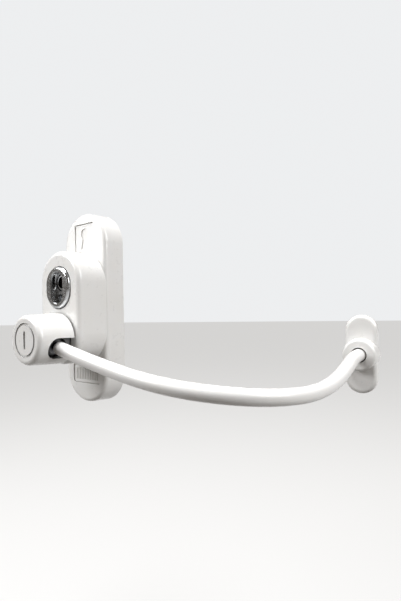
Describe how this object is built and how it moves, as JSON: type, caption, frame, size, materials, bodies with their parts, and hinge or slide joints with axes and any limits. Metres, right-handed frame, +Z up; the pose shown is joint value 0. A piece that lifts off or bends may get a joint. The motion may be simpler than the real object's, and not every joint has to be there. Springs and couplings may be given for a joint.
{
  "type": "window restrictor cable",
  "caption": "Key lock body with a pull-out plug on a swivelling knob, joined by a white sheathed wire rope to a small swivelling sash bracket.",
  "frame": {"origin": "centre of the lock's flat mounting face", "axes": "+Z up the lock's long side, +Y into the frame it is screwed to (the mounting face's outward normal), +X from the lock towards the bracket"},
  "size_m": [0.1139, 0.0894, 0.078],
  "materials": {
    "white_enamel": "glossy white enamel over a die casting, slight orange peel",
    "white_plastic": "moulded white, semi-gloss",
    "white_pvc": "smooth white PVC sheath, semi-gloss",
    "chrome": "polished",
    "steel": "turned steel, fine lathe marks",
    "screw_steel": "bright zinc plating",
    "rope_steel": "galvanised stranded wire",
    "dark_zinc": "dark grey passivated zinc, satin",
    "zinc_plate": "matt zinc casting",
    "brass": "plain machined"
  },
  "bodies": {
    "lock": {"lock_body": "white_enamel", "lock_backplate": "zinc_plate", "backplate_screws": "screw_steel", "top_screw_cap": "white_plastic", "bottom_screw_cap": "white_plastic", "key_surround": "chrome", "cylinder_barrel": "brass", "tumbler_pins": "brass", "tumbler_springs": "screw_steel", "socket_sleeve": "zinc_plate", "latch_spring": "screw_steel"},
    "key_core": {"key_core": "steel", "key_cam": "steel"},
    "latch": {"latch_plate": "steel"},
    "plug": {"plug_sleeve": "steel"},
    "knob": {"knob_insert": "dark_zinc", "spindle_clip": "screw_steel", "knob_cap": "white_enamel", "cable_ferrule": "dark_zinc", "ferrule_pin": "screw_steel", "cable_sheath": "white_pvc", "cable_rope": "rope_steel", "cable_end_fitting": "steel"},
    "bracket": {"bracket_base": "zinc_plate", "bracket_bush": "dark_zinc", "bracket_retainer": "zinc_plate", "bracket_cover": "white_enamel"}
  },
  "joints": [
    {"name": "key_turn", "type": "hinge", "parent": "lock", "child": "key_core", "pos_m": [0, -0.0187, 0.0097], "axis": [0, 1, 0], "range_deg": [0, 90]},
    {"name": "latch_slide", "type": "slide", "parent": "lock", "child": "latch", "axis": [0, 0, -1], "range_m": [0, 0.0016], "deforming": ["latch_spring"]},
    {"name": "plug_pull", "type": "slide", "parent": "lock", "child": "plug", "axis": [0, -1, 0], "range_m": [0, 0.025]},
    {"name": "plug_swivel", "type": "hinge", "parent": "plug", "child": "knob", "pos_m": [0, -0.0269, -0.0118], "axis": [0, -1, 0], "continuous": true},
    {"name": "bracket_swivel", "type": "hinge", "parent": "knob", "child": "bracket", "pos_m": [0.094, 0.0538, -0.0202], "axis": [0, 1, 0], "continuous": true}
  ],
  "couplings": [
    {"joint": "key_turn", "follows": "latch_slide", "rad_per_m": 981.75}
  ]
}
